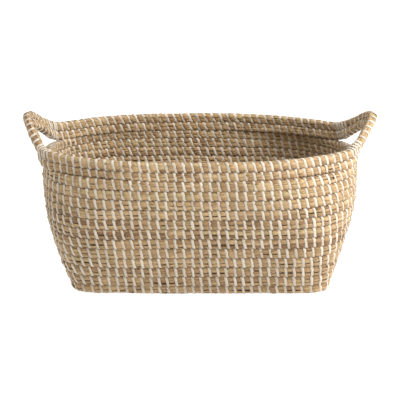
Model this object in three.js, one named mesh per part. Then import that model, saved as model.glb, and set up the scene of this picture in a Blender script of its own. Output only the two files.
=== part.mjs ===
// Seagrass storage basket with two loop handles, in millimetres, +Z up, +X along its length.
// The basket is one long bundle of seagrass stems, coiled and bound. The base is a straight core with
// squarish turns round it. The wall is a stack of courses that flares from a squarish base to an oval
// mouth. The two top courses lift off the wall at each end and lean outwards, as the handles.
// The origin is on the floor, under the middle of the basket.

import * as THREE from "three";

// The spacing of the courses, at the foot of the wall and at the rim, where the coil is thinner, and
// in the base, and the clearance that a coil keeps to its neighbours.
const LOW_PITCH = 14.7;
const HIGH_PITCH = 10.9;
const BASE_PITCH = 12.7;
const CLEARANCE = 0.5;
const COIL_SIDES = 8;

// How much the pull of the handles thins the two top courses: in the rim, and in the handles, where
// it also draws the two together.
const RIM_THINNING = 0.2;
const HANDLE_THINNING = 0.4;

// The body, measured over the outside of the coil.
const COURSES = 14;
const BODY_LENGTH = 389;
const BODY_DEPTH = 270;
const BASE_LENGTH = 326;
const BASE_DEPTH = 168;

// The widest course's place in the wall, from 0 at the lowest course to 1 at the highest.
const WIDEST_AT = 0.885;

// The outline's fullness: 2 is an oval, and a higher number is squarer. It changes up the wall from
// the base's value to each end's value at the rim, fastest near the base.
const BASE_FULLNESS = 6;
const CORE_FULLNESS = 2;
const LEFT_FULLNESS = 2.75;
const RIGHT_FULLNESS = 2.3;
const FULLNESS_EASE = 0.7;

// Half the straight stretch in the long sides of the rim.
const RIM_STRAIGHT = 10;

// The handles: half the distance between a handle's feet, the rise of its upper coil above the rim,
// measured along the handle, its lean from upright, and the radius of the bend that starts the lean.
const HANDLE_COURSES = 2;
const HANDLE_HALF_SPREAD = 62.5;
const HANDLE_RISE = 40.5;
const HANDLE_LEAN = THREE.MathUtils.degToRad(44);
const LEAN_RADIUS = 12;

// How far a handle's two coils lean, one over the other, as a share of the handle's lean.
const STACK_LEAN = 0.65;

// The rounding at a handle's apex, as a share of its half spread, and at its feet, in millimetres.
const APEX_ROUNDING = 0.56;
const FOOT_ROUNDING = 6;

// How far the pull of a handle raises the wall's top under it, and how far from its middle that fades.
const END_RISE = 11;
const END_RISE_LENGTH = 45;

// How far the rim is drawn outwards at a handle's feet, and how far along the rim that fades.
const FOOT_FLARE = 11.5;
const FOOT_FLARE_LENGTH = 29;

// How much of the spare width at the corners of the base the coil takes up.
const CORNER_SPREAD = 0.9;

// The tips of the base's core: how far they reach past its straight length, and how thick they are
// at the end, both as shares of the coil.
const CORE_TIP = 0.35;
const CORE_TIP_SHARE = 0.6;

const UP = new THREE.Vector3(0, 0, 1);

// Steps along a closed turn of the wall and of the base, a rim length between handles, and a handle.
const WALL_STEPS = 40;
const BASE_STEPS = 40;
const RIM_STEPS = 24;
const HANDLE_STEPS = 24;

// The space from a course to the next one up, counted from 1 at the foot of the wall.
function pitchAbove(course) {
  const share = Math.min((course - 1) / (COURSES - 2), 1);
  return THREE.MathUtils.lerp(LOW_PITCH, HIGH_PITCH, share);
}

const coilOf = (course) => pitchAbove(course) - CLEARANCE;
const lowCoil = coilOf(1);
const highCoil = coilOf(COURSES);

// The distance from a course up to the highest.
function belowHighest(course) {
  let distance = 0;
  for (let next = course; next < COURSES; next++) distance += pitchAbove(next);
  return distance;
}

// Half sizes of the coil's centre line.
const bodyHalf = { x: (BODY_LENGTH - highCoil) / 2, y: (BODY_DEPTH - highCoil) / 2 };
const baseHalf = { x: (BASE_LENGTH - lowCoil) / 2, y: (BASE_DEPTH - lowCoil) / 2 };

// Half the straight core of the base. It is also the straight stretch in the base's long sides.
const coreHalf = baseHalf.x - baseHalf.y;

// Heights of the lowest and highest courses' centre lines.
const lowCentre = lowCoil / 2;
const highCentre = lowCentre + belowHighest(1);

// A superellipse split at its middle, with straight stretches between its halves, at one angle.
function outlinePoint(angle, halfX, halfY, straight, fullness) {
  const power = 2 / fullness;
  const across = Math.cos(angle);
  const along = Math.sin(angle);
  return new THREE.Vector2(
    Math.sign(across) * (straight + (halfX - straight) * Math.abs(across) ** power),
    Math.sign(along) * halfY * Math.abs(along) ** power,
  );
}

// The wall's outline at a share of its height.
function wallOutline(angle, share) {
  const flare = Math.sin(((Math.PI / 2) * share) / WIDEST_AT);
  const rimFullness = Math.cos(angle) < 0 ? LEFT_FULLNESS : RIGHT_FULLNESS;
  return outlinePoint(
    angle,
    THREE.MathUtils.lerp(baseHalf.x, bodyHalf.x, flare),
    THREE.MathUtils.lerp(baseHalf.y, bodyHalf.y, flare),
    THREE.MathUtils.lerp(coreHalf, RIM_STRAIGHT, share),
    THREE.MathUtils.lerp(BASE_FULLNESS, rimFullness, share ** FULLNESS_EASE),
  );
}

// How far a handle's surface stands out and up, at a distance along it above the rim.
function leanOffset(distance) {
  const bend = Math.min(distance / LEAN_RADIUS, HANDLE_LEAN);
  const beyond = distance - bend * LEAN_RADIUS;
  return {
    out: LEAN_RADIUS * (1 - Math.cos(bend)) + beyond * Math.sin(bend),
    up: LEAN_RADIUS * Math.sin(bend) + beyond * Math.cos(bend),
  };
}

// How far the rim stands out at a handle's foot, at a distance y from the middle of the handle.
function footFlare(y) {
  const away = (Math.abs(y) - HANDLE_HALF_SPREAD) / FOOT_FLARE_LENGTH;
  return FOOT_FLARE * Math.exp(-away * away);
}

// How far the wall is raised under a handle, at a distance y from the handle's middle.
function endRise(y, share) {
  return END_RISE * Math.exp(-((y / END_RISE_LENGTH) ** 2)) * share ** 3;
}

// A point on the surface that the coil's centre line follows. The distance is measured along the
// surface from the highest course: down the wall where it is negative, and up the handle above 0.
function surfacePoint(angle, distance) {
  const height = highCentre + Math.min(distance, 0);
  const share = Math.max(0, (height - lowCentre) / (highCentre - lowCentre));
  const flat = wallOutline(angle, share);
  const lean = leanOffset(Math.max(distance, 0));
  const flare = footFlare(flat.y) * THREE.MathUtils.clamp(1 + distance / HIGH_PITCH, 0, 1);
  const outwards = ((lean.out + flare) * flat.x) / bodyHalf.x;
  const rise = distance < 0 ? endRise(flat.y, share) : 0;
  return new THREE.Vector3(flat.x + outwards, flat.y, height + lean.up + rise);
}

// The lift of the highest course at a distance y from the middle of a handle: a rounded peak over
// the handle, which fades to nothing along the rim.
function handleLift(y) {
  const peak = Math.hypot(y / HANDLE_HALF_SPREAD, APEX_ROUNDING) - APEX_ROUNDING;
  const fullPeak = Math.hypot(1, APEX_ROUNDING) - APEX_ROUNDING;
  const lift = HANDLE_RISE * (1 - peak / fullPeak);
  return FOOT_ROUNDING * Math.log1p(Math.exp(lift / FOOT_ROUNDING));
}

// The highest course's centre line at an angle round the basket.
function highestPoint(angle) {
  return surfacePoint(angle, handleLift(wallOutline(angle, 1).y));
}

// The direction from the course below the highest to the highest, square to it. In a handle it leans
// out less than the handle does.
function squareUp(angle) {
  const step = 1e-3;
  const flat = wallOutline(angle, 1);
  const lean = STACK_LEAN * Math.min(handleLift(flat.y) / LEAN_RADIUS, HANDLE_LEAN);
  const along = highestPoint(angle + step).sub(highestPoint(angle - step));
  const rise = new THREE.Vector3((Math.sin(lean) * flat.x) / bodyHalf.x, 0, Math.cos(lean));
  const outward = new THREE.Vector3().crossVectors(along, rise);
  return outward.cross(along).normalize();
}

// The space between the centre lines of the two top courses.
function liftedSpacing(angle) {
  const raised = Math.min(handleLift(wallOutline(angle, 1).y) / HANDLE_RISE, 1);
  return HIGH_PITCH - HANDLE_THINNING * raised ** 0.5;
}

// The centre line of a course that makes the handles, counted down from the highest, which is 0.
// It runs inside the course above it, all along it.
class LiftedCourse extends THREE.Curve {
  constructor(below, from, to) {
    super();
    Object.assign(this, { below, from, to });
  }

  getPoint(u) {
    const angle = THREE.MathUtils.lerp(this.from, this.to, u);
    return highestPoint(angle).addScaledVector(this.upAt(u), -this.below * liftedSpacing(angle));
  }

  upAt(u) {
    return squareUp(THREE.MathUtils.lerp(this.from, this.to, u));
  }
}

// The centre line of a level course that goes all the way round.
class LevelCourse extends THREE.Curve {
  constructor(pointAt) {
    super();
    this.pointAt = pointAt;
  }

  getPoint(u) {
    return this.pointAt(u * 2 * Math.PI);
  }

  upAt() {
    return UP;
  }
}

// One ring of corners round the centre line, square to the line and with a flat side downwards. The
// breadth is the width across the up direction, where the bundle is spread out.
function coilSection(centre, tangent, up, width, breadth = width) {
  const side = new THREE.Vector3().crossVectors(up, tangent).normalize();
  const top = new THREE.Vector3().crossVectors(tangent, side).normalize();
  const radius = width / 2 / Math.cos(Math.PI / COIL_SIDES);
  return Array.from({ length: COIL_SIDES }, (_, corner) => {
    const turn = ((corner + 0.5) * 2 * Math.PI) / COIL_SIDES;
    return centre
      .clone()
      .addScaledVector(side, ((radius * breadth) / width) * Math.cos(turn))
      .addScaledVector(top, radius * Math.sin(turn));
  });
}

// The solid between a row of sections: a ring where it is closed, or a length with two flat ends.
function coilGeometry(sections, closed) {
  const corners = sections.flat();
  const index = [];
  const spans = closed ? sections.length : sections.length - 1;
  for (let span = 0; span < spans; span++) {
    const here = span * COIL_SIDES;
    const next = ((span + 1) % sections.length) * COIL_SIDES;
    for (let side = 0; side < COIL_SIDES; side++) {
      const other = (side + 1) % COIL_SIDES;
      index.push(here + side, here + other, next + other);
      index.push(here + side, next + other, next + side);
    }
  }
  if (!closed) {
    const last = (sections.length - 1) * COIL_SIDES;
    for (let side = 1; side < COIL_SIDES - 1; side++) {
      index.push(0, side + 1, side);
      index.push(last, last + side, last + side + 1);
    }
  }
  const geometry = new THREE.BufferGeometry().setFromPoints(corners);
  geometry.setIndex(index);
  geometry.computeVertexNormals();
  return geometry;
}

// A coil that goes all the way round a closed centre line.
function closedCoil(curve, steps, width) {
  const sections = Array.from({ length: steps }, (_, step) => {
    const before = curve.getPoint((step - 0.5) / steps);
    const after = curve.getPoint((step + 0.5) / steps);
    return coilSection(curve.getPoint(step / steps), after.sub(before), curve.upAt(), width);
  });
  return coilGeometry(sections, true);
}

// A coil along an open centre line, cut back at both ends by half the clearance.
function openCoil(curve, steps, width) {
  const reach = 0.25 / steps;
  const cutBack = CLEARANCE / 2 / curve.getLength();
  const sections = Array.from({ length: steps + 1 }, (_, step) => {
    const u = THREE.MathUtils.lerp(cutBack, 1 - cutBack, step / steps);
    const tangent = curve.getPoint(u + reach).sub(curve.getPoint(u - reach));
    return coilSection(curve.getPoint(u), tangent, curve.upAt(u), width);
  });
  return coilGeometry(sections, false);
}

// Dry seagrass: straw and tan, a little different from course to course.
function seagrass(course) {
  const lightness = 0.55 + 0.04 * Math.sin(course * 2.4);
  return new THREE.MeshStandardMaterial({
    color: new THREE.Color().setHSL(0.095, 0.33, lightness),
    roughness: 0.78,
    metalness: 0,
  });
}

function coilMesh(name, geometry, course) {
  const mesh = new THREE.Mesh(geometry, seagrass(course));
  mesh.name = name;
  return mesh;
}

const twoDigits = (number) => String(number).padStart(2, "0");

// The turns of the base fill the room inside the lowest course of the wall.
const baseRoom = baseHalf.y - (lowCoil + CLEARANCE) / 2;
const baseTurns = Math.round(baseRoom / BASE_PITCH - 0.5);
const baseSpacing = baseRoom / (baseTurns + 0.5);
const baseCoil = baseSpacing - CLEARANCE;

// The centre line of a turn of the base at an angle. Turn 0 is the core, and the one after the last
// is the lowest course of the wall.
function baseOutline(turn, angle) {
  if (turn > baseTurns) return wallOutline(angle, 0);
  const half = turn * baseSpacing;
  const fullness = THREE.MathUtils.lerp(CORE_FULLNESS, BASE_FULLNESS, (turn - 1) / baseTurns);
  return outlinePoint(angle, coreHalf + half, half, coreHalf, fullness);
}

// One section of a turn of the base. The bundle spreads out to fill the space between the turns
// beside it, which draw apart at the corners.
function baseSection(turn, angle) {
  const halfStep = Math.PI / BASE_STEPS;
  const here = baseOutline(turn, angle);
  const along = baseOutline(turn, angle + halfStep).sub(baseOutline(turn, angle - halfStep));
  const outward = new THREE.Vector2(along.y, -along.x).normalize();
  const inner = here.clone().sub(baseOutline(turn - 1, angle)).dot(outward) / 2;
  const gap = baseOutline(turn + 1, angle).sub(here).dot(outward);
  const outer = turn < baseTurns ? gap / 2 : Math.min(gap / 2, gap - (lowCoil + CLEARANCE) / 2);
  here.addScaledVector(outward, (outer - inner) / 2);
  const centre = new THREE.Vector3(here.x, here.y, baseCoil / 2);
  const tangent = new THREE.Vector3(along.x, along.y, 0).normalize();
  const spread = CORNER_SPREAD * (inner + outer - baseSpacing);
  return coilSection(centre, tangent, UP, baseCoil, baseCoil + spread);
}

// The straight core, which narrows at its two tips inside the first turn.
function coreGeometry() {
  const tip = coreHalf + CORE_TIP * baseCoil;
  const places = [
    [-tip, CORE_TIP_SHARE],
    [-coreHalf, 1],
    [coreHalf, 1],
    [tip, CORE_TIP_SHARE],
  ];
  const along = new THREE.Vector3(1, 0, 0);
  const sections = places.map(([x, share]) =>
    coilSection(new THREE.Vector3(x, 0, baseCoil / 2), along, UP, baseCoil * share),
  );
  return coilGeometry(sections, false);
}

// The base: a straight core, and as many turns round it as fit inside the lowest course.
function makeBase() {
  const base = new THREE.Group();
  base.add(coilMesh("base_core", coreGeometry(), 0));
  for (let turn = 1; turn <= baseTurns; turn++) {
    const sections = Array.from({ length: BASE_STEPS }, (_, step) =>
      baseSection(turn, (step / BASE_STEPS) * 2 * Math.PI),
    );
    base.add(coilMesh(`base_turn_${twoDigits(turn)}`, coilGeometry(sections, true), turn));
  }
  return base;
}

// The wall courses below the handles, which go all the way round.
function makeWall() {
  const wall = new THREE.Group();
  for (let course = 1; course <= COURSES - HANDLE_COURSES; course++) {
    const curve = new LevelCourse((angle) => surfacePoint(angle, -belowHighest(course)));
    const geometry = closedCoil(curve, WALL_STEPS, coilOf(course));
    wall.add(coilMesh(`wall_course_${twoDigits(course)}`, geometry, course));
  }
  return wall;
}

// The angle at which the rim reaches a handle's foot, measured from the end of the basket.
function footAngle(rimFullness) {
  const share = HANDLE_HALF_SPREAD / wallOutline(Math.PI / 2, 1).y;
  return Math.asin(share ** (rimFullness / 2));
}

// The two top courses: a front and a back length between the handles, and a length in each handle.
function makeRimAndHandles() {
  const top = new THREE.Group();
  const right = footAngle(RIGHT_FULLNESS);
  const left = footAngle(LEFT_FULLNESS);
  const lengths = [
    ["handle_right", -right, right, HANDLE_STEPS, HANDLE_THINNING],
    ["rim_back", right, Math.PI - left, RIM_STEPS, RIM_THINNING],
    ["handle_left", Math.PI - left, Math.PI + left, HANDLE_STEPS, HANDLE_THINNING],
    ["rim_front", Math.PI + left, 2 * Math.PI - right, RIM_STEPS, RIM_THINNING],
  ];
  ["upper", "lower"].forEach((row, below) => {
    for (const [place, from, to, steps, thinning] of lengths) {
      const curve = new LiftedCourse(below, from, to);
      const geometry = openCoil(curve, steps, highCoil - thinning);
      top.add(coilMesh(`${place}_${row}`, geometry, COURSES - below));
    }
  });
  return top;
}

const basket = new THREE.Group();
basket.add(makeBase(), makeWall(), makeRimAndHandles());

export default basket;
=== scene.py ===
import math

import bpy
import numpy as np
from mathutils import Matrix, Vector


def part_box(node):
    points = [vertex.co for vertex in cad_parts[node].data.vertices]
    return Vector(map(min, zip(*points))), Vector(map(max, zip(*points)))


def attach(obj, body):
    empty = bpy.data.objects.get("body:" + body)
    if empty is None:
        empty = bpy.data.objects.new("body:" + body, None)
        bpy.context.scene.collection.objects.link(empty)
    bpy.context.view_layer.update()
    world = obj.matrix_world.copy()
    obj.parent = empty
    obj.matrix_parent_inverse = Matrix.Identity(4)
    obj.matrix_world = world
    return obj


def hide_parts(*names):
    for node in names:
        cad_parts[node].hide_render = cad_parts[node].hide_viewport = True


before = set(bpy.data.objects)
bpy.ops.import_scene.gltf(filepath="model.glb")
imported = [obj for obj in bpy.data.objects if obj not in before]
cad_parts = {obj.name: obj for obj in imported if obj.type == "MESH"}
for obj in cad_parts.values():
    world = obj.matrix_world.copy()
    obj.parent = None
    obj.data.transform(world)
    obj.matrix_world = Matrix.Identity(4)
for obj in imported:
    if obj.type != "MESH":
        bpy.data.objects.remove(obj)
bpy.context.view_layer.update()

# Coiled seagrass basket. Every coil is a bundle of flattened stems, pinched by the strand that winds
# round it. Lengths are in millimetres until a mesh is made, and the frame is the CAD's: the floor is
# z = 0, and +X runs along the basket.

MM = 0.001
UP = np.array([0.0, 0.0, 1.0])

# The two ways in which a course wavers.
OUTWARD = 0
UPWARD = 1

# The coil, its courses, and the body's outline, as in the part.
LOW_PITCH = 14.7
HIGH_PITCH = 10.9
BASE_PITCH = 12.7
CLEARANCE = 0.5
COURSES = 14
HANDLE_COURSES = 2
BODY_LENGTH = 389
BODY_DEPTH = 270
BASE_LENGTH = 326
BASE_DEPTH = 168
WIDEST_AT = 0.885
BASE_FULLNESS = 6
CORE_FULLNESS = 2
LEFT_FULLNESS = 2.75
RIGHT_FULLNESS = 2.3
FULLNESS_EASE = 0.7
RIM_STRAIGHT = 10
CORE_TIP = 0.35

# The handles, as in the part.
HANDLE_HALF_SPREAD = 62.5
HANDLE_RISE = 40.5
HANDLE_LEAN = math.radians(44)
LEAN_RADIUS = 12
STACK_LEAN = 0.65
HANDLE_THINNING = 0.4
APEX_ROUNDING = 0.56
FOOT_ROUNDING = 6
END_RISE = 11
END_RISE_LENGTH = 45
FOOT_FLARE = 11.5
FOOT_FLARE_LENGTH = 29

# The stitches: their spacing along the coil, the strand's half width and thickness, its points to a
# stitch, the squareness of its path round the coil, and how far it goes along the coil on the
# outside, in stitches.
STITCH_PITCH = 10.25
STRAND_HALF_WIDTH = 1.95
STRAND_RISE = 0.75
STRAND_STEPS = 14
STRAND_SQUARENESS = 3.8
OUTSIDE_ADVANCE = 0.38

# How unevenly the strand is wound: the scatter of its place, as a share of a stitch, and of its width,
# as a share of that. Then how deep it lies in the bundle, how much and in how many waves to a stitch
# that changes, and the share of it that holds over the coil's top and bottom.
STITCH_SCATTER = 0.028
STITCH_WIDTH_SCATTER = 0.08
STRAND_INSET = 0.98
STRAND_INSET_WANDER = 0.12
STRAND_INSET_WAVES = 0.8
STRAND_INSET_SHARE = 0.2

# The strand's twist, in radians, with its waves to a stitch, and how much it flattens at its bends.
STRAND_TWIST = 0.10
STRAND_TWIST_WAVES = 0.6
STRAND_THINNING = 0.1

# The length of strand that one stitch takes, for its material.
WINDING_LENGTH = 30

# The bundle: how many stems show round it, their half width and half thickness, and the steps along
# them from one stitch to the next.
STEMS = 10
STEM_HALF_WIDTH = 2.75
STEM_HALF_THICKNESS = 1.05
CELL_STEPS = 5

# How deep a stitch pinches the stems and over what share of the way to the next, how far out all the
# stems are moved, and how much narrower and thinner they are where they are pinched.
PINCH = 1.2
PINCH_LENGTH = 0.19
STEM_PROUD = 0.12
PINCH_NARROWING = 0.16
PINCH_THINNING = 0.2

# How uneven the stems are: the scatter of their places round the coil, as a share of the space
# between them; their drift and lean, in radians, with the stitches to a wave; and from stitch to
# stitch their girth, bulge and depth, and the chance of a fresh stem.
STEM_SCATTER = 0.16
STEM_DRIFT = 0.16
DRIFT_STITCHES = 7
STEM_LEAN = 0.30
LEAN_STITCHES = 5
GIRTH_SCATTER = 0.10
BULGE_RANGE = (0.55, 1.1)
DEPTH_SCATTER = 0.16
FRESH_CHANCE = 0.10

# A stem is in the seam between two courses, and painted with shade there, where the cosine of its turn is
# past the first number, and fully in it when that is past by the second.
SEAM_FROM = 0.72
SEAM_EASE = 0.2

# The heart of the bundle: its points round it, its rings to a stitch, how deep it lies, its rough
# radius in metres, and its values for the material, which paint it dark with a dark stem tint and painted
# shade.
HEART_SIDES = 8
HEART_STEPS = 3
HEART_INSET = 2.1
HEART_RADIUS = 0.004
HEART_VALUES = (0.05, 0.3, 0.3)

# The ends of an open coil: the length that is rounded off, how far short of the end the stems and the
# heart stop, and the share of their size that is left there, squared.
END_ROUNDING = 7.0
STEM_END = 0.3
HEART_END = 1.5
STEM_TIP = 0.02
HEART_TIP = 0.05

# Offsets in the material's pattern, in metres, so that no two stems and no two turns look alike.
STEM_OFFSET = 1.37
STEM_OFFSET_ACROSS = 0.013
BUNDLE_OFFSET = 0.61
STRAND_OFFSET = 0.37
LOOSE_OFFSET = 3.1
LOOSE_OFFSET_ACROSS = 0.7

# The bundle's section is a little squarer than an ellipse, which is 2, and the courses are pressed
# into each other by this much on each side.
SQUARENESS = 2.9
PRESSING = 0.32

# The stems bulge past the coil's size in the part, so the coils that lie on the floor are held up by
# this much.
STANDING = 1.1

# The shared waver of the courses: waves round the basket, size and phase. Each course and each of the
# two directions shifts the phase, and the upward waver is smaller, and grows over the lowest courses.
SWAY_WAVES = ((2, 0.45, 0.4), (5, 0.40, 2.1), (9, 0.28, 4.0), (17, 0.14, 1.3))
SWAY_COURSE_SHIFT = 0.55
SWAY_AXIS_SHIFT = 1.7
SWAY_UPWARD = 0.55
SWAY_COURSES = 3

# The closer turns of the strand at each foot of a handle, and how deep they lie in the bundle.
LASHING_TURNS = 2
LASHING_INSET = 0.3

# The loose ends of stems on each turn: how many, the points along each, how far round the coil they
# may lie from the middle of its side and how much they turn, in radians, and their length in stitches.
# They start under the coil's surface, and rise from there by LOOSE_RISE and a random LOOSE_LIFT. Their
# width and thickness are shares of a stem's, and both taper. The twist is in radians.
LOOSE_ENDS = 5
LOOSE_POINTS = 7
LOOSE_SCATTER = 0.9
LOOSE_TURN = 0.15
LOOSE_LENGTH = (0.8, 1.5)
LOOSE_INSET = 1.5
LOOSE_RISE = 1.6
LOOSE_LIFT = (0.2, 1.4)
LOOSE_CURVE = 1.6
LOOSE_WIDTH = 0.55
LOOSE_NARROWING = 0.7
LOOSE_THICKNESS = 0.5
LOOSE_THINNING = 0.6
LOOSE_TWIST = 0.4
LOOSE_TINTS = (0.1, 0.9)
LOOSE_TONES = (0.3, 1.0)
# The loose ends' third value: painted shade over their whole length.
LOOSE_PAINTED_SHADE = 0.3

# Each turn has a seed of its own, and each kind of random detail on it draws from seeds of its own.
STEM_SEEDS = 100
STRAND_SEEDS = 7000
LASHING_SEEDS = 9000
LOOSE_SEEDS = 500
BASE_SEED = 1
WALL_SEED = 20
RIM_SEED = 40

# How finely centre lines are laid out: angles round a turn, millimetres along it, and points on the
# core's.
LINE_ANGLES = 24000
LINE_STEP = 0.5
CORE_POINTS = 200


def mix(low, high, share):
    return low + (high - low) * share


# ---------------------------------------------------------------- the coil's centre line


def pitch_above(course):
    """The space from a course to the next one up: the coil is thinner towards the rim."""
    return mix(LOW_PITCH, HIGH_PITCH, min((course - 1) / (COURSES - 2), 1))


def coil_of(course):
    return pitch_above(course) - CLEARANCE


def below_highest(course):
    """The distance from a course up to the highest. Course 0 is as far under the first as it is thick."""
    if course == 0:
        return below_highest(1) + LOW_PITCH
    return sum(pitch_above(step) for step in range(course, COURSES))


# Half sizes of the coil's centre line, and the heights of the lowest and highest courses.
BODY_HALF_X = (BODY_LENGTH - coil_of(COURSES)) / 2
BODY_HALF_Y = (BODY_DEPTH - coil_of(COURSES)) / 2
BASE_HALF_X = (BASE_LENGTH - coil_of(1)) / 2
BASE_HALF_Y = (BASE_DEPTH - coil_of(1)) / 2
CORE_HALF = BASE_HALF_X - BASE_HALF_Y
LOW_CENTRE = coil_of(1) / 2
HIGH_CENTRE = LOW_CENTRE + below_highest(1)

# The turns of the base fill the room inside the lowest course.
BASE_ROOM = BASE_HALF_Y - (coil_of(1) + CLEARANCE) / 2
BASE_TURNS = round(BASE_ROOM / BASE_PITCH - 0.5)
BASE_SPACING = BASE_ROOM / (BASE_TURNS + 0.5)
BASE_COIL = BASE_SPACING - CLEARANCE


def outline(angle, half_x, half_y, straight, fullness):
    """A superellipse split at its middle, with straight stretches between its halves."""
    power = 2 / fullness
    across = np.cos(angle)
    along = np.sin(angle)
    x = np.sign(across) * (straight + (half_x - straight) * np.abs(across) ** power)
    y = np.sign(along) * half_y * np.abs(along) ** power
    return x, y


def wall_outline(angle, share):
    flare = math.sin(math.pi / 2 * share / WIDEST_AT)
    rim_fullness = np.where(np.cos(angle) < 0, LEFT_FULLNESS, RIGHT_FULLNESS)
    return outline(
        angle,
        mix(BASE_HALF_X, BODY_HALF_X, flare),
        mix(BASE_HALF_Y, BODY_HALF_Y, flare),
        mix(CORE_HALF, RIM_STRAIGHT, share),
        mix(BASE_FULLNESS, rim_fullness, share**FULLNESS_EASE),
    )


def foot_flare(y):
    """How far the rim stands out near a handle's foot."""
    away = (np.abs(y) - HANDLE_HALF_SPREAD) / FOOT_FLARE_LENGTH
    return FOOT_FLARE * np.exp(-away * away)


def wall_point(angle, below):
    """The wall's surface, at a distance below the highest course."""
    height = HIGH_CENTRE - below
    share = max(0.0, (height - LOW_CENTRE) / (HIGH_CENTRE - LOW_CENTRE))
    x, y = wall_outline(angle, share)
    outwards = foot_flare(y) * np.clip(1 - below / HIGH_PITCH, 0, 1) * x / BODY_HALF_X
    rise = END_RISE * np.exp(-((y / END_RISE_LENGTH) ** 2)) * share**3 if below > 0 else 0 * y
    return np.column_stack([x + outwards, y, height + rise])


def handle_point(angle, above):
    """The surface over the rim, at a distance above the highest course: it leans out as a handle."""
    x, y = wall_outline(angle, 1.0)
    bend = np.minimum(above / LEAN_RADIUS, HANDLE_LEAN)
    beyond = above - bend * LEAN_RADIUS
    out = LEAN_RADIUS * (1 - np.cos(bend)) + beyond * np.sin(bend)
    up = LEAN_RADIUS * np.sin(bend) + beyond * np.cos(bend)
    outwards = (out + foot_flare(y)) * x / BODY_HALF_X
    return np.column_stack([x + outwards, y, HIGH_CENTRE + up])


def handle_lift(y):
    """The lift of the highest course, at a distance y from the middle of a handle."""
    peak = np.hypot(y / HANDLE_HALF_SPREAD, APEX_ROUNDING) - APEX_ROUNDING
    full_peak = math.hypot(1, APEX_ROUNDING) - APEX_ROUNDING
    lift = HANDLE_RISE * (1 - peak / full_peak)
    return FOOT_ROUNDING * np.log1p(np.exp(lift / FOOT_ROUNDING))


def highest_point(angle):
    return handle_point(angle, handle_lift(wall_outline(angle, 1.0)[1]))


def unit(rows):
    return rows / np.linalg.norm(rows, axis=-1, keepdims=True)


def square_up(angle):
    """The direction from the course below the highest to the highest, square to it."""
    step = 1e-3
    x, y = wall_outline(angle, 1.0)
    lean = STACK_LEAN * np.minimum(handle_lift(y) / LEAN_RADIUS, HANDLE_LEAN)
    along = highest_point(angle + step) - highest_point(angle - step)
    rise = np.column_stack([np.sin(lean) * x / BODY_HALF_X, 0 * y, np.cos(lean)])
    return unit(np.cross(np.cross(along, rise), along))


def lifted_spacing(angle):
    """The space between the centre lines of the two top courses, which the handles draw together."""
    raised = np.minimum(handle_lift(wall_outline(angle, 1.0)[1]) / HANDLE_RISE, 1)
    return HIGH_PITCH - HANDLE_THINNING * np.sqrt(raised)


class Line:
    """A coil's centre line by length along it, with the direction of the next course and half the
    distance to it. It may be closed on itself."""

    def __init__(self, points, rises, coil, closed, sway):
        if closed:
            points = self.close(points)
            rises = self.close(rises)
        gaps = np.linalg.norm(np.diff(points, axis=0), axis=1)
        reach = np.concatenate([[0.0], np.cumsum(gaps)])
        self.length = reach[-1]
        self.closed = closed
        self.at = np.linspace(0, self.length, int(self.length / LINE_STEP) + 1)
        self.points = self.even(reach, points)
        along = unit(np.gradient(self.points, axis=0))
        if closed:
            along[0] = unit(self.points[1] - self.points[-2])
            along[-1] = along[0]
        rises = self.even(reach, rises)
        rises = rises - along * np.sum(rises * along, axis=1, keepdims=True)
        self.along = along
        self.up = unit(rises)
        self.out = np.cross(along, self.up)
        self.half_up = np.linalg.norm(rises, axis=1) / 2 + PRESSING
        self.half_out = coil / 2
        share = self.at / self.length
        for way, axis in ((self.out, OUTWARD), (self.up, UPWARD)):
            self.points = self.points + way * sway(share, axis)[:, None]

    @staticmethod
    def close(rows):
        middle = (rows[:1] + rows[-1:]) / 2
        return np.vstack([middle, rows, middle])

    def even(self, reach, rows):
        return np.column_stack([np.interp(self.at, reach, column) for column in rows.T])

    def find(self, rows, where):
        if self.closed:
            where = np.mod(where, self.length)
        if rows.ndim == 1:
            return np.interp(where, self.at, rows)
        return np.stack([np.interp(where, self.at, column) for column in rows.T], axis=-1)

    def section(self, where, turn, inset_out, inset_up, squareness=SQUARENESS):
        """A point on the coil's section and the way out of it. The turn is 0 at the top, and grows
        down the outside, under the coil and up the inside."""
        half_out = self.half_out - inset_out
        half_up = self.find(self.half_up, where) - inset_up
        sine = np.sin(turn)
        cosine = np.cos(turn)
        over = np.sign(sine) * np.abs(sine) ** (2 / squareness)
        high = np.sign(cosine) * np.abs(cosine) ** (2 / squareness)
        out = self.find(self.out, where)
        up = self.find(self.up, where)
        point = self.find(self.points, where)
        point = point + out * (half_out * over)[..., None] + up * (half_up * high)[..., None]
        slope_out = np.sign(over) * np.abs(over) ** (squareness - 1) / half_out
        slope_up = np.sign(high) * np.abs(high) ** (squareness - 1) / half_up
        normal = unit(out * slope_out[..., None] + up * slope_up[..., None])
        return point, normal


def stitch_shift(turn):
    """How far along the coil the strand has gone at a turn round it, in stitches. It runs straight
    and slanting across the coil's outside and inside, and squarely over its top and bottom."""
    whole = np.floor(turn / (2 * math.pi))
    part = turn - whole * 2 * math.pi
    down = OUTSIDE_ADVANCE * (1 - np.cos(part)) / 2
    back = 1 - (1 - OUTSIDE_ADVANCE) * (1 - np.cos(part)) / 2
    return whole + np.where(part <= math.pi, down, back)


class Wander:
    """A smooth random change along a coil, which meets itself where the coil closes. It is a sum of
    a few waves, and about the given number of each goes into the coil's length."""

    parts = 5

    def __init__(self, rng, waves, size):
        fewest = max(1, int(waves * 0.4))
        most = max(3, int(waves * 1.6))
        self.count = rng.integers(fewest, most, self.parts)
        self.phase = rng.uniform(0, 2 * math.pi, self.parts)
        self.size = size * rng.uniform(0.5, 1.0, self.parts) / 2

    def __call__(self, share):
        angles = 2 * math.pi * np.multiply.outer(share, self.count) + self.phase
        return np.sin(angles) @ self.size


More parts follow.
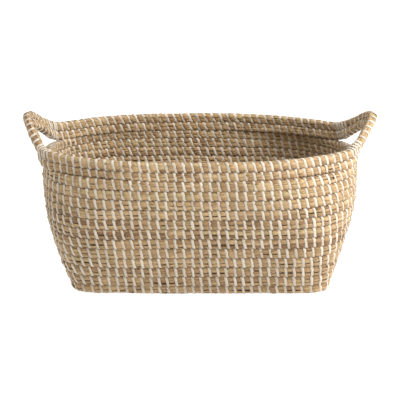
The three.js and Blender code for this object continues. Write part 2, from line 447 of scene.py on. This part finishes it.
def course_sway(course):
    """A small shared waver of the courses: neighbours move nearly together, so they stay in touch. The
    lowest course stays level, on the floor."""

    def sway(share, axis):
        total = np.zeros_like(share)
        for count, size, phase in SWAY_WAVES:
            angles = 2 * math.pi * count * share + phase + SWAY_COURSE_SHIFT * course + SWAY_AXIS_SHIFT * axis
            total += size * np.sin(angles)
        if axis == OUTWARD:
            return total
        return total * (SWAY_UPWARD * min(1, (course - 1) / SWAY_COURSES))

    return sway


def no_sway(share, axis):
    return np.zeros_like(share)


# ---------------------------------------------------------------- meshes


class Shell:
    """Collects tubes, and then makes one mesh object of them."""

    def __init__(self):
        self.points = []
        self.quads = []
        self.caps = []
        self.values = []
        self.places = []
        self.total = 0

    def tube(self, rings, values, places, closed):
        """Rings of points, shape (rings, sides, 3). The three values drive the material's colours, and
        the places are the length along and the distance across, in metres. Each is one number for the
        tube, one for each ring, or one for each point."""
        count, sides = rings.shape[:2]
        index = self.total + np.arange(count * sides).reshape(count, sides)
        rows = index if closed else index[:-1]
        nexts = np.roll(index, -1, axis=0) if closed else index[1:]
        quads = np.stack([rows, nexts, np.roll(nexts, -1, axis=1), np.roll(rows, -1, axis=1)], axis=-1)
        self.quads.append(quads.reshape(-1, 4))
        if not closed:
            self.caps.append(index[0])
            self.caps.append(index[-1][::-1])
        self.points.append(rings.reshape(-1, 3))
        self.values.append(self.by_point(count, sides, values + (1.0,)))
        self.places.append(self.by_point(count, sides, places))
        self.total += count * sides

    @staticmethod
    def by_point(count, sides, parts):
        """A row of numbers for each point of a tube."""
        columns = []
        for part in parts:
            part = np.asarray(part, float)
            part = part[:, None] if part.ndim == 1 else part
            columns.append(np.broadcast_to(part, (count, sides)).ravel())
        return np.column_stack(columns)

    def make(self, name, material):
        points = np.concatenate(self.points) * MM
        corners = [np.concatenate(self.quads).ravel()] + list(self.caps)
        sizes = [np.full(len(corners[0]) // 4, 4)] + [np.array([len(cap)]) for cap in self.caps]
        loops = np.concatenate(corners).astype(np.int32)
        sizes = np.concatenate(sizes)
        starts = np.concatenate([[0], np.cumsum(sizes)[:-1]]).astype(np.int32)
        mesh = bpy.data.meshes.new(name)
        mesh.vertices.add(len(points))
        mesh.vertices.foreach_set("co", points.astype(np.float32).ravel())
        mesh.loops.add(len(loops))
        mesh.loops.foreach_set("vertex_index", loops)
        mesh.polygons.add(len(sizes))
        mesh.polygons.foreach_set("loop_start", starts)
        mesh.polygons.foreach_set("use_smooth", np.ones(len(sizes), bool))
        mesh.update(calc_edges=True)
        colours = mesh.color_attributes.new("stem", "FLOAT_COLOR", "POINT")
        colours.data.foreach_set("color", np.concatenate(self.values).astype(np.float32).ravel())
        layer = mesh.uv_layers.new(name="along")
        places = np.concatenate(self.places)[loops]
        layer.data.foreach_set("uv", places.astype(np.float32).ravel())
        mesh.validate()
        mesh.materials.append(material)
        piece = bpy.data.objects.new(name, mesh)
        bpy.context.scene.collection.objects.link(piece)
        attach(piece, "root")
        return piece


# A flattened stem's section, and the domed section of the strand, as shares of the half width and of
# the thickness.
STEM_SECTION = np.array([(1, 0.0), (0.55, 0.9), (-0.45, 1.0), (-1, 0.1), (-0.5, -0.9), (0.5, -0.9)])
STRAND_SECTION = np.array(
    [(1, 0.05), (0.72, 0.72), (0, 1.0), (-0.72, 0.72), (-1, 0.05), (-0.6, -0.35), (0.6, -0.35)]
)


def rings_round(points, normals, section, half_width, thickness, twist, whole=False):
    """Rings of the section along a row of points, with its flat side square to the normals, and the
    points' distances across it. A whole row meets itself, so its ends are smooth."""
    along = np.gradient(points, axis=0)
    if whole:
        along[0] = (points[1] - points[-1]) / 2
        along[-1] = (points[0] - points[-2]) / 2
    side = unit(np.cross(normals, along))
    normals = unit(np.cross(along, side))
    lean_side = side * np.cos(twist)[:, None] + normals * np.sin(twist)[:, None]
    lean_up = normals * np.cos(twist)[:, None] - side * np.sin(twist)[:, None]
    across = section[:, 0][None, :] * half_width[:, None]
    above = section[:, 1][None, :] * thickness[:, None]
    rings = points[:, None, :] + lean_side[:, None, :] * across[..., None]
    return rings + lean_up[:, None, :] * above[..., None], across


def held_values(rng, cells, chance):
    """A random value for each cell that stays the same along a stem, until the stem is replaced."""
    values = rng.random(cells)
    fresh = rng.random(cells) < chance
    fresh[0] = True
    source = np.maximum.accumulate(np.where(fresh, np.arange(cells), 0))
    return values[source]


class Coil:
    """One turn of the bundle: the stems and the strand that winds round them. The top coil shows its
    upper side, a frayed one has loose ends, and lashed lists the stitches with closer turns."""

    def __init__(self, line, seed, top=False, frayed=True):
        self.line = line
        self.seed = seed
        self.top = top
        self.frayed = frayed
        self.lashed = []
        count = line.length / STITCH_PITCH
        self.stitches = 2 * round(count / 2) if line.closed else round(count)
        self.cell = line.length / self.stitches
        rng = np.random.default_rng(seed)
        self.stitch_sway = rng.normal(0, STITCH_SCATTER, self.stitches + 2)
        self.stitch_width = rng.normal(1, STITCH_WIDTH_SCATTER, self.stitches + 2)
        if line.closed:
            self.stitch_sway[-2:] = self.stitch_sway[:2]
            self.stitch_width[-2:] = self.stitch_width[:2]

    def stem(self, shell, number, first, last):
        """One stem from the first stitch to the last, pinched at each and bulging between."""
        rng = np.random.default_rng(self.seed * STEM_SEEDS + number)
        cells = self.stitches
        turn = 2 * math.pi * (number + rng.uniform(-STEM_SCATTER, STEM_SCATTER)) / STEMS
        drift = Wander(rng, cells / DRIFT_STITCHES, STEM_DRIFT)
        lean = Wander(rng, cells / LEAN_STITCHES, STEM_LEAN)
        girth = rng.normal(1, GIRTH_SCATTER, cells)
        bulge = rng.uniform(*BULGE_RANGE, cells)
        depth = rng.normal(0, DEPTH_SCATTER, cells)
        tint = held_values(rng, cells, FRESH_CHANCE)
        patch = rng.random(cells)
        whole = self.line.closed and last - first == cells
        steps = np.arange(first * CELL_STEPS, last * CELL_STEPS + (0 if whole else 1))
        cell = (steps // CELL_STEPS) % cells
        part = (steps % CELL_STEPS) / CELL_STEPS
        shift = float(stitch_shift(np.array(turn % (2 * math.pi))))
        where = (steps / CELL_STEPS + (shift if self.line.closed else 0)) * self.cell
        if not self.line.closed:
            where = np.clip(where, STEM_END, self.line.length - STEM_END)
        share = where / self.line.length
        near = np.minimum(part, 1 - part)
        free = 1 - np.exp(-((near / PINCH_LENGTH) ** 2))
        inset = STEM_HALF_THICKNESS + PINCH * (1 - free * bulge[cell]) - STEM_PROUD + depth[cell] * free
        angle = turn + drift(share)
        points, normals = self.line.section(where, angle, inset, inset)
        if not self.line.closed:
            points = self.rounded_ends(points, where)
        width = STEM_HALF_WIDTH * girth[cell] * (1 - PINCH_NARROWING + PINCH_NARROWING * free)
        thick = STEM_HALF_THICKNESS * (1 - PINCH_THINNING + PINCH_THINNING * free)
        rings, across = rings_round(points, normals, STEM_SECTION, width, thick, lean(share) * free, whole)
        # The third value is painted shade: near the stitches, where the strand pinches the stems, and in the
        # seams between courses.
        values = (tint[cell], patch[cell], np.maximum(1 - free, self.in_seam(turn)))
        length = where * MM + number * STEM_OFFSET + self.seed * BUNDLE_OFFSET
        places = (length, across * MM + number * STEM_OFFSET_ACROSS)
        shell.tube(rings, values, places, whole)

    def in_seam(self, turn):
        """How deep a stem lies between this course and its neighbours, from 0 to 1, which sets the painted
        shade in the seam.
        """
        high = math.cos(turn)
        if self.top and high > 0:
            return 0.0
        return min(1, max(0, (abs(high) - SEAM_FROM) / SEAM_EASE))

    def rounded_ends(self, points, where):
        """Draws the stems together at an open coil's two ends."""
        end = np.minimum(where, self.line.length - where) / END_ROUNDING
        draw = np.sqrt(np.clip(1 - (1 - np.clip(end, 0, 1)) ** 2, STEM_TIP, 1))
        centre = self.line.find(self.line.points, where)
        return centre + (points - centre) * draw[:, None]

    def heart(self, shell, first, last):
        """The middle of the bundle, painted dark as shade, seen only in the gaps between its stems."""
        whole = self.line.closed and last - first == self.stitches
        count = (last - first) * HEART_STEPS
        where = np.linspace(first * self.cell, last * self.cell, count + 1)
        if whole:
            where = where[:-1]
        elif not self.line.closed:
            where = np.clip(where, HEART_END, self.line.length - HEART_END)
        turns = -2 * math.pi * np.arange(HEART_SIDES) / HEART_SIDES
        grid = np.broadcast_to(where[:, None], (len(where), HEART_SIDES))
        turn = np.broadcast_to(turns, grid.shape)
        rings, _ = self.line.section(grid, turn, HEART_INSET, HEART_INSET)
        if not self.line.closed:
            end = np.clip(np.minimum(where, self.line.length - where) / END_ROUNDING, HEART_TIP, 1)
            centre = self.line.find(self.line.points, where)[:, None, :]
            rings = centre + (rings - centre) * np.sqrt(end)[:, None, None]
        shell.tube(rings, HEART_VALUES, (where * MM, turn * HEART_RADIUS), whole)

    def bundle(self, shell, first=0, last=None):
        """The stems from the first stitch to the last, or all the way round."""
        last = self.stitches if last is None else last
        for number in range(STEMS):
            self.stem(shell, number, first, last)
        self.heart(shell, first, last)
        if self.line.closed and self.frayed:
            self.loose_ends(shell, first, last)

    def strand(self, shell):
        """The binding strand: one long winding, slanting across the coil's faces."""
        rng = np.random.default_rng(self.seed + STRAND_SEEDS)
        wound = self.stitches if self.line.closed else self.stitches - 1
        steps = np.arange(wound * STRAND_STEPS + (0 if self.line.closed else 1))
        turn = 2 * math.pi * steps / STRAND_STEPS + (0 if self.line.closed else 0.5 * math.pi)
        place = steps / STRAND_STEPS
        sway = self.by_stitch(self.stitch_sway, place)
        where = (stitch_shift(turn) + sway) * self.cell
        wander = Wander(rng, self.stitches * STRAND_INSET_WAVES, 1.0)
        inset = STRAND_INSET + STRAND_INSET_WANDER * wander(place / self.stitches)
        self.winding(shell, rng, turn, place, where, inset, self.line.closed)

    def lashing(self, shell, number, middle):
        """A few closer turns between the stitches, over the stems. Their ends are under the coil."""
        rng = np.random.default_rng(self.seed * 10 + number + LASHING_SEEDS)
        steps = np.arange(LASHING_TURNS * STRAND_STEPS + 1)
        turn = 2 * math.pi * steps / STRAND_STEPS + math.pi
        start = middle - LASHING_TURNS // 2
        place = start + steps / STRAND_STEPS
        where = (start + 0.5 + stitch_shift(turn)) * self.cell
        inset = np.full(len(steps), LASHING_INSET)
        self.winding(shell, rng, turn, place % self.stitches, where, inset, False)

    def winding(self, shell, rng, turn, place, where, inset, whole):
        """The strand round the coil: its turn, its place in stitches, and its length along the coil."""
        width = STRAND_HALF_WIDTH * self.by_stitch(self.stitch_width, place)
        inset_up = STRAND_INSET_SHARE * inset
        points, normals = self.line.section(where, turn, inset, inset_up, STRAND_SQUARENESS)
        thick = STRAND_RISE * (1 - STRAND_THINNING + STRAND_THINNING * np.cos(2 * turn))
        twist = Wander(rng, self.stitches * STRAND_TWIST_WAVES, STRAND_TWIST)(place / self.stitches)
        rings, across = rings_round(points, normals, STRAND_SECTION, width, thick, twist, whole)
        tone = self.by_stitch(rng.random(self.stitches + 2), place)
        values = (tone, rng.random(), np.abs(across) / STRAND_HALF_WIDTH)
        places = (place * WINDING_LENGTH * MM + self.seed * STRAND_OFFSET, across * MM)
        shell.tube(rings, values, places, whole)

    def loose_ends(self, shell, first, last):
        """Ends of stems that have slipped out from under a stitch, and stand off the coil a little."""
        rng = np.random.default_rng(self.seed * 7 + first + LOOSE_SEEDS)
        part = np.linspace(0, 1, LOOSE_POINTS)
        for _ in range(round(LOOSE_ENDS * (last - first) / self.stitches + 0.5)):
            start = rng.uniform(first + 2, last - 2)
            turn = rng.choice([0.5, 1.5]) * math.pi + rng.uniform(-LOOSE_SCATTER, LOOSE_SCATTER)
            turn = turn + part * rng.uniform(-LOOSE_TURN, LOOSE_TURN)
            length = rng.uniform(*LOOSE_LENGTH)
            where = (start + length * part) * self.cell
            inset = LOOSE_INSET - (LOOSE_RISE + rng.uniform(*LOOSE_LIFT)) * part**LOOSE_CURVE
            points, normals = self.line.section(where, turn, inset, inset)
            width = STEM_HALF_WIDTH * LOOSE_WIDTH * (1 - LOOSE_NARROWING * part**2)
            thick = STEM_HALF_THICKNESS * LOOSE_THICKNESS * (1 - LOOSE_THINNING * part)
            rings, across = rings_round(points, normals, STEM_SECTION, width, thick, LOOSE_TWIST * part)
            # The third value paints shade on the loose end.
            values = (rng.uniform(*LOOSE_TINTS), rng.uniform(*LOOSE_TONES), LOOSE_PAINTED_SHADE)
            places = (where * MM + LOOSE_OFFSET, across * MM + LOOSE_OFFSET_ACROSS)
            shell.tube(rings, values, places, False)

    def by_stitch(self, values, place):
        """A value of each stitch, changing smoothly to the next one's."""
        whole = np.floor(place).astype(int) % (self.stitches + 1)
        part = place - np.floor(place)
        ease = part * part * (3 - 2 * part)
        return values[whole] * (1 - ease) + values[whole + 1] * ease


# ---------------------------------------------------------------- the courses


def turn_angles():
    """Angles of one turn, from the middle of the front round by +X and the back to the front."""
    return -math.pi / 2 + (np.arange(LINE_ANGLES) + 0.5) * 2 * math.pi / LINE_ANGLES


def wall_line(course):
    """The line of one of the wall's courses, under the two that form the handles."""
    angle = turn_angles()
    points = wall_point(angle, below_highest(course))
    above = wall_point(angle, below_highest(course + 1))
    under = wall_point(angle, below_highest(course - 1))
    rises = (above - under) / 2
    if course == 1:
        points = points + UP * STANDING
        rises = rises * (1 - 2 * STANDING / LOW_PITCH)
    return Line(points, rises, coil_of(course), True, course_sway(course))


def lifted_line(below):
    """The line of one of the two top courses, and the length along it at each angle."""
    angle = turn_angles()
    rises = square_up(angle) * lifted_spacing(angle)[:, None]
    points = highest_point(angle) - rises * below
    line = Line(points, rises, coil_of(COURSES), True, course_sway(COURSES - below))
    gaps = np.linalg.norm(points - np.roll(points, 1, axis=0), axis=1)
    return line, np.cumsum(gaps) - gaps[0] / 2


def base_outline(turn, angle):
    """Turn 0 is the core, and the one after the last is the lowest course of the wall."""
    if turn > BASE_TURNS:
        x, y = wall_outline(angle, 0.0)
    else:
        half = turn * BASE_SPACING
        fullness = mix(CORE_FULLNESS, BASE_FULLNESS, (turn - 1) / BASE_TURNS)
        x, y = outline(angle, CORE_HALF + half, half, CORE_HALF, fullness)
    return np.column_stack([x, y, 0 * x])


def base_line(turn):
    """The line of a turn of the base. The bundle spreads out to fill the space between the turns
    beside it, which draw apart at the corners."""
    angle = turn_angles()
    here = base_outline(turn, angle)
    ahead = np.roll(here, -1, axis=0) - np.roll(here, 1, axis=0)
    ahead[0] = ahead[1]
    ahead[-1] = ahead[-2]
    outwards = unit(np.cross(ahead, UP))
    inner = np.sum((here - base_outline(turn - 1, angle)) * outwards, axis=1) / 2
    gap = np.sum((base_outline(turn + 1, angle) - here) * outwards, axis=1)
    outer = gap / 2 if turn < BASE_TURNS else gap - (coil_of(1) + CLEARANCE) / 2
    points = here + outwards * ((outer - inner) / 2)[:, None] + UP * (BASE_COIL / 2 + STANDING)
    return Line(points, outwards * (inner + outer)[:, None], BASE_COIL, True, no_sway)


def core_line():
    """The straight coil in the middle of the base."""
    half = CORE_HALF + CORE_TIP * BASE_COIL
    along = np.linspace(-half, half, CORE_POINTS)
    points = np.column_stack([along, 0 * along, 0 * along + BASE_COIL / 2 + STANDING])
    rises = np.tile([0.0, -BASE_SPACING, 0.0], (CORE_POINTS, 1))
    return Line(points, rises, BASE_COIL, False, no_sway)


def foot_angle(rim_fullness):
    """The angle of a handle's foot, from the end of the basket."""
    share = HANDLE_HALF_SPREAD / BODY_HALF_Y
    return math.asin(share ** (rim_fullness / 2))


def check_place(name, piece):
    """Stops the script if a piece is more than a stitch away from its CAD node."""
    low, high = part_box(name)
    corners = np.empty(len(piece.data.vertices) * 3, np.float32)
    piece.data.vertices.foreach_get("co", corners)
    corners = corners.reshape(-1, 3)
    off = max(np.abs(corners.min(0) - np.array(low)).max(), np.abs(corners.max(0) - np.array(high)).max())
    if off > STITCH_PITCH * MM:
        raise ValueError(f"{name} is {off / MM:.1f} mm away from its place in the part")


def bundle_piece(name, coil, material, first=0, last=None):
    """The stems that stand for a coil's CAD node."""
    shell = Shell()
    coil.bundle(shell, first, last)
    piece = shell.make(name + "_stems", material)
    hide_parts(name)
    check_place(name, piece)


def strand_piece(name, coils, material):
    """The strand round several coils, with the closer turns at the handles' feet."""
    shell = Shell()
    for coil in coils:
        coil.strand(shell)
        for number, stitch in enumerate(coil.lashed):
            coil.lashing(shell, number, stitch)
    shell.make(name, material)


def make_base(seagrass, strand):
    coils = [Coil(core_line(), BASE_SEED)]
    bundle_piece("base_core", coils[0], seagrass)
    for turn in range(1, BASE_TURNS + 1):
        coil = Coil(base_line(turn), BASE_SEED + turn, frayed=False)
        bundle_piece(f"base_turn_{turn:02d}", coil, seagrass)
        coils.append(coil)
    strand_piece("strand_base", coils, strand)


def make_wall(seagrass, strand):
    coils = []
    for course in range(1, COURSES - HANDLE_COURSES + 1):
        coil = Coil(wall_line(course), WALL_SEED + course, frayed=course > 1)
        bundle_piece(f"wall_course_{course:02d}", coil, seagrass)
        coils.append(coil)
    half = len(coils) // 2
    strand_piece("strand_wall_low", coils[:half], strand)
    strand_piece("strand_wall_high", coils[half:], strand)


def make_rim_and_handles(seagrass, strand):
    """The two top courses, each parted at the handles' feet into two handles and two rims."""
    right = foot_angle(RIGHT_FULLNESS)
    left = foot_angle(LEFT_FULLNESS)
    ends = {
        "handle_right": (-right, right),
        "rim_back": (right, math.pi - left),
        "handle_left": (math.pi - left, math.pi + left),
    }
    coils = []
    for below, row in enumerate(("upper", "lower")):
        line, reach = lifted_line(below)
        coil = Coil(line, RIM_SEED + below, top=below == 0)
        marks = {}
        for place, (start, end) in ends.items():
            spots = np.interp([start, end], turn_angles(), reach) / line.length * coil.stitches
            marks[place] = tuple(int(round(spot - 0.5)) for spot in spots)
            bundle_piece(f"{place}_{row}", coil, seagrass, *marks[place])
        after = marks["handle_left"][1]
        before = marks["handle_right"][0] + coil.stitches
        bundle_piece(f"rim_front_{row}", coil, seagrass, after, before)
        coil.lashed = [*marks["handle_right"], *marks["handle_left"]]
        coils.append(coil)
    strand_piece("strand_rim", coils, strand)


# ---------------------------------------------------------------- materials


class Nodes:
    """A material's nodes, with short calls to add and link them."""

    def __init__(self, name):
        self.material = bpy.data.materials.new(name)
        self.material.use_nodes = True
        self.tree = self.material.node_tree
        self.shader = self.tree.nodes["Principled BSDF"]

    def add(self, kind, **settings):
        node = self.tree.nodes.new(kind)
        for key, value in settings.items():
            setattr(node, key, value)
        return node

    def link(self, source, target):
        self.tree.links.new(source, target)

    def maths(self, operation, first, second):
        node = self.add("ShaderNodeMath", operation=operation)
        for socket, value in zip(node.inputs, (first, second)):
            if isinstance(value, (int, float)):
                socket.default_value = value
            else:
                self.link(value, socket)
        return node.outputs[0]

    def ramp(self, factor, stops):
        node = self.add("ShaderNodeValToRGB")
        band = node.color_ramp
        while len(band.elements) < len(stops):
            band.elements.new(0.5)
        for element, (position, colour) in zip(band.elements, stops):
            element.position = position
            element.color = (*colour, 1.0)
        self.link(factor, node.inputs[0])
        return node.outputs[0]

    def multiply(self, first, second, factor):
        """A colour multiplied by another, as far as the factor says."""
        node = self.add("ShaderNodeMix", data_type="RGBA", blend_type="MULTIPLY")
        for socket, value in ((node.inputs[0], factor), (node.inputs[6], first), (node.inputs[7], second)):
            if isinstance(value, (int, float)):
                socket.default_value = value
            elif isinstance(value, tuple):
                socket.default_value = (*value, 1.0)
            else:
                self.link(value, socket)
        return node.outputs[2]

    def fibres(self, along, across, detail):
        """Noise drawn out along the stem: a low scale along it and a high one across it."""
        place = self.add("ShaderNodeUVMap", uv_map="along")
        mapping = self.add("ShaderNodeMapping")
        mapping.inputs["Scale"].default_value = (along, across, 1)
        noise = self.add("ShaderNodeTexNoise")
        noise.inputs["Scale"].default_value = 1.0
        noise.inputs["Detail"].default_value = detail
        noise.inputs["Roughness"].default_value = 0.65
        self.link(place.outputs[0], mapping.inputs["Vector"])
        self.link(mapping.outputs[0], noise.inputs["Vector"])
        return noise.outputs[0]

    def point_values(self):
        """The three values that each tube brings."""
        attribute = self.add("ShaderNodeAttribute", attribute_name="stem")
        parts = self.add("ShaderNodeSeparateColor")
        self.link(attribute.outputs["Color"], parts.inputs[0])
        return parts.outputs[0], parts.outputs[1], parts.outputs[2]

    def roughness(self, fine, low, swing):
        """Rougher along some fibres than along others."""
        above = self.maths("MULTIPLY", fine, swing)
        self.link(self.maths("ADD", above, low), self.shader.inputs["Roughness"])

    def settings(self, values):
        for name, value in values.items():
            self.shader.inputs[name].default_value = value

    def bump(self, height, distance, strength):
        node = self.add("ShaderNodeBump")
        node.inputs["Strength"].default_value = strength
        node.inputs["Distance"].default_value = distance
        self.link(height, node.inputs["Height"])
        self.link(node.outputs[0], self.shader.inputs["Normal"])


# Colours are in linear light. A row is a place on the ramp and its colour.

WHITE = (1.0, 1.0, 1.0)

# Dry seagrass, from a dark weathered stem to a pale fresh one.
STEM_COLOURS = (
    (0.00, (0.200, 0.120, 0.058)),
    (0.05, (0.270, 0.172, 0.086)),
    (0.18, (0.340, 0.228, 0.118)),
    (0.50, (0.385, 0.266, 0.142)),
    (0.82, (0.420, 0.298, 0.164)),
    (1.00, (0.372, 0.286, 0.145)),
)

# What multiplies it: its tone from stitch to stitch, its fibre lines, its stains, and the painted shade where
# it is pinched or lies in a seam.
STEM_TONES = ((0.0, (0.78, 0.72, 0.66)), (0.5, WHITE), (1.0, (1.12, 1.08, 1.0)))
STEM_LINES = ((0.32, (0.62, 0.56, 0.50)), (0.50, WHITE), (0.70, (1.18, 1.15, 1.08)))
STEM_STAINS = ((0.30, (0.60, 0.50, 0.40)), (0.46, WHITE))
PAINTED_SHADE_COLOUR = (0.56, 0.42, 0.28)

# The off-white strand, its fibre lines, and the painted shade on its edges.
STRAND_COLOURS = (
    (0.0, (0.435, 0.378, 0.305)),
    (0.5, (0.500, 0.445, 0.372)),
    (1.0, (0.565, 0.515, 0.440)),
)
STRAND_LINES = ((0.30, (0.80, 0.76, 0.70)), (0.52, WHITE), (0.70, (1.06, 1.06, 1.05)))
STRAND_EDGE_SHADE = (0.62, 0.55, 0.45)


def make_seagrass():
    n = Nodes("seagrass")
    tint, patch, depth = n.point_values()
    fine = n.fibres(along=28, across=2600, detail=3)
    broad = n.fibres(along=45, across=420, detail=2)
    colour = n.ramp(tint, STEM_COLOURS)
    colour = n.multiply(colour, n.ramp(patch, STEM_TONES), factor=0.9)
    colour = n.multiply(colour, n.ramp(fine, STEM_LINES), factor=0.8)
    colour = n.multiply(colour, n.ramp(broad, STEM_STAINS), factor=0.7)
    # Painted shade, darkening the stems where they are pinched and in the seams, and the heart and the loose
    # ends.
    colour = n.multiply(colour, PAINTED_SHADE_COLOUR, factor=n.maths("MULTIPLY", depth, 0.60))
    n.link(colour, n.shader.inputs["Base Color"])
    n.roughness(fine, low=0.48, swing=0.30)
    n.settings({"Specular IOR Level": 0.28, "Sheen Weight": 0.05, "Sheen Roughness": 0.5})
    n.bump(fine, distance=0.00045, strength=0.8)
    return n.material


def make_strand():
    n = Nodes("binding_strand")
    tone, _, edge = n.point_values()
    fine = n.fibres(along=60, across=2400, detail=3)
    colour = n.ramp(tone, STRAND_COLOURS)
    colour = n.multiply(colour, n.ramp(fine, STRAND_LINES), factor=0.8)
    # Painted shade on the strand's edges, where the domed strand turns down to the stems.
    edge_shade = n.maths("MULTIPLY", n.maths("POWER", edge, 4.0), 0.45)
    colour = n.multiply(colour, STRAND_EDGE_SHADE, factor=edge_shade)
    n.link(colour, n.shader.inputs["Base Color"])
    n.roughness(fine, low=0.40, swing=0.25)
    n.settings({"Specular IOR Level": 0.4})
    n.settings({"Subsurface Weight": 0.08, "Subsurface Radius": (0.0012, 0.0010, 0.0008)})
    n.bump(fine, distance=0.0003, strength=0.7)
    return n.material


# ---------------------------------------------------------------- camera, light and floor

# Distances here are in metres, the lens and its sensor in millimetres, and angles in degrees. Azimuth 0
# is the front, and 90 is the +X end.
CAMERA_TARGET = Vector((0, 0, 0.097))
CAMERA_DISTANCE = 1.842
CAMERA_ELEVATION = 16.2
CAMERA_LENS = 131.4
CAMERA_SENSOR = 36
LIGHT_TARGET = Vector((0, 0, 0.1))
STUDIO_COLOUR = (1.0, 0.955, 0.87, 1)
STUDIO_STRENGTH = 0.50
FLOOR_HALF = 12.0
FLOOR_COLOUR = (0.36, 0.36, 0.36, 1)
FLOOR_GLOW = 0.85


def add_facing(name, data, target, azimuth, elevation, distance):
    """Adds a camera or a light that faces the target from a distance."""
    turn = math.radians(azimuth)
    lift = math.radians(elevation)
    way = Vector((math.sin(turn) * math.cos(lift), -math.cos(turn) * math.cos(lift), math.sin(lift)))
    thing = bpy.data.objects.new(name, data)
    thing.location = target + way * distance
    thing.rotation_euler = (-way).to_track_quat("-Z", "Y").to_euler()
    bpy.context.scene.collection.objects.link(thing)
    return thing


def make_camera():
    data = bpy.data.cameras.new("camera")
    data.lens = CAMERA_LENS
    data.sensor_width = CAMERA_SENSOR
    camera = add_facing("camera", data, CAMERA_TARGET, 0, CAMERA_ELEVATION, CAMERA_DISTANCE)
    bpy.context.scene.camera = camera


def area_light(name, azimuth, elevation, distance, size, power):
    """A soft light that faces the basket."""
    data = bpy.data.lights.new(name, "AREA")
    data.shape = "SQUARE"
    data.size = size
    data.energy = power
    add_facing(name, data, LIGHT_TARGET, azimuth, elevation, distance)


def make_light():
    world = bpy.data.worlds.new("studio")
    world.use_nodes = True
    background = world.node_tree.nodes["Background"]
    background.inputs["Color"].default_value = STUDIO_COLOUR
    background.inputs["Strength"].default_value = STUDIO_STRENGTH
    bpy.context.scene.world = world
    area_light("key", azimuth=67, elevation=34, distance=1.7, size=1.7, power=63)
    area_light("fill", azimuth=-95, elevation=48, distance=2.0, size=1.4, power=18)
    bpy.context.scene.view_settings.view_transform = "Standard"


def make_floor():
    signs = ((-1, -1), (1, -1), (1, 1), (-1, 1))
    corners = [(x * FLOOR_HALF, y * FLOOR_HALF, 0) for x, y in signs]
    mesh = bpy.data.meshes.new("floor")
    mesh.from_pydata(corners, [], [(0, 1, 2, 3)])
    floor = bpy.data.objects.new("floor", mesh)
    bpy.context.scene.collection.objects.link(floor)
    n = Nodes("floor")
    n.settings({"Base Color": FLOOR_COLOUR, "Roughness": 0.9, "Specular IOR Level": 0.1})
    n.settings({"Emission Color": (*WHITE, 1), "Emission Strength": FLOOR_GLOW})
    mesh.materials.append(n.material)


make_camera()
make_light()
make_floor()
seagrass_material = make_seagrass()
strand_material = make_strand()
make_base(seagrass_material, strand_material)
make_wall(seagrass_material, strand_material)
make_rim_and_handles(seagrass_material, strand_material)

bpy.context.view_layer.update()
